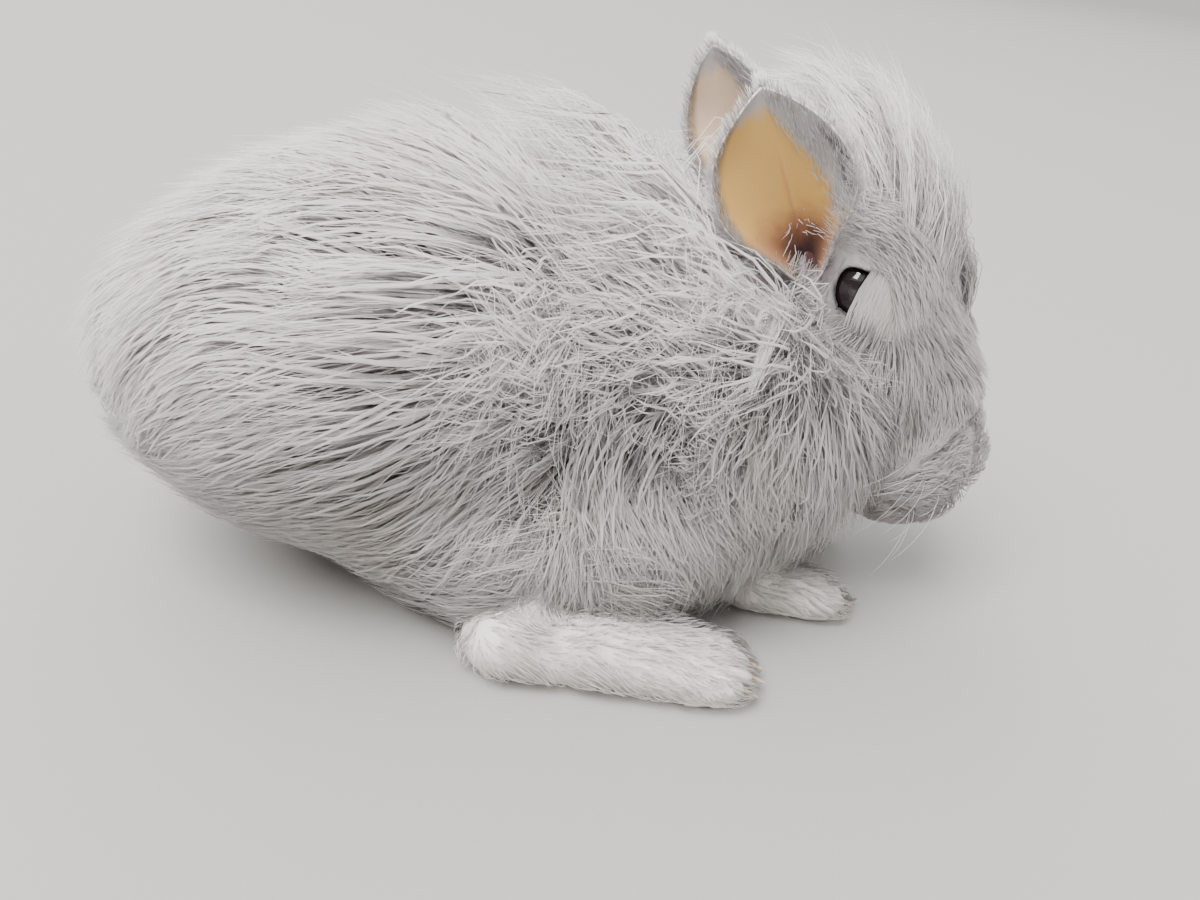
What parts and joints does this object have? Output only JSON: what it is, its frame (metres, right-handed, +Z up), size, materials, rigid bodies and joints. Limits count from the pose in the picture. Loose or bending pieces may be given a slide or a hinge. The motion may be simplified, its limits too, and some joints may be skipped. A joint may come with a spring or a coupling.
{
  "type": "angora rabbit",
  "caption": "Life-size still model of a young long-haired angora rabbit crouched low, with cupped ears turned back, a tucked tail and flat soles.",
  "frame": {"origin": "on the floor, under the middle of the rabbit's bounding box", "axes": "+X towards the nose end, +Y towards the rabbit's left, +Z up"},
  "size_m": [0.2458, 0.1346, 0.1515],
  "materials": {
    "wool": "long lilac-grey angora wool, silky on the back and crimped on the cheeks and flanks",
    "face": "short lilac-grey fur with a longer forelock and cheek wool",
    "foot": "short dense near-white fur, yellowed on the sole",
    "ear": "thin skin with short fur outside, nearly bare and tan-pink inside",
    "eye": "glossy near-black eye"
  },
  "bodies": {
    "root": {"torso": "wool", "neck": "wool", "head": "face", "tail": "wool", "ear_left": "ear", "ear_right": "ear", "eye_left": "eye", "eye_right": "eye", "foreleg_left": "foot", "foreleg_right": "foot", "hindleg_left": "foot", "hindleg_right": "foot"}
  },
  "joints": []
}
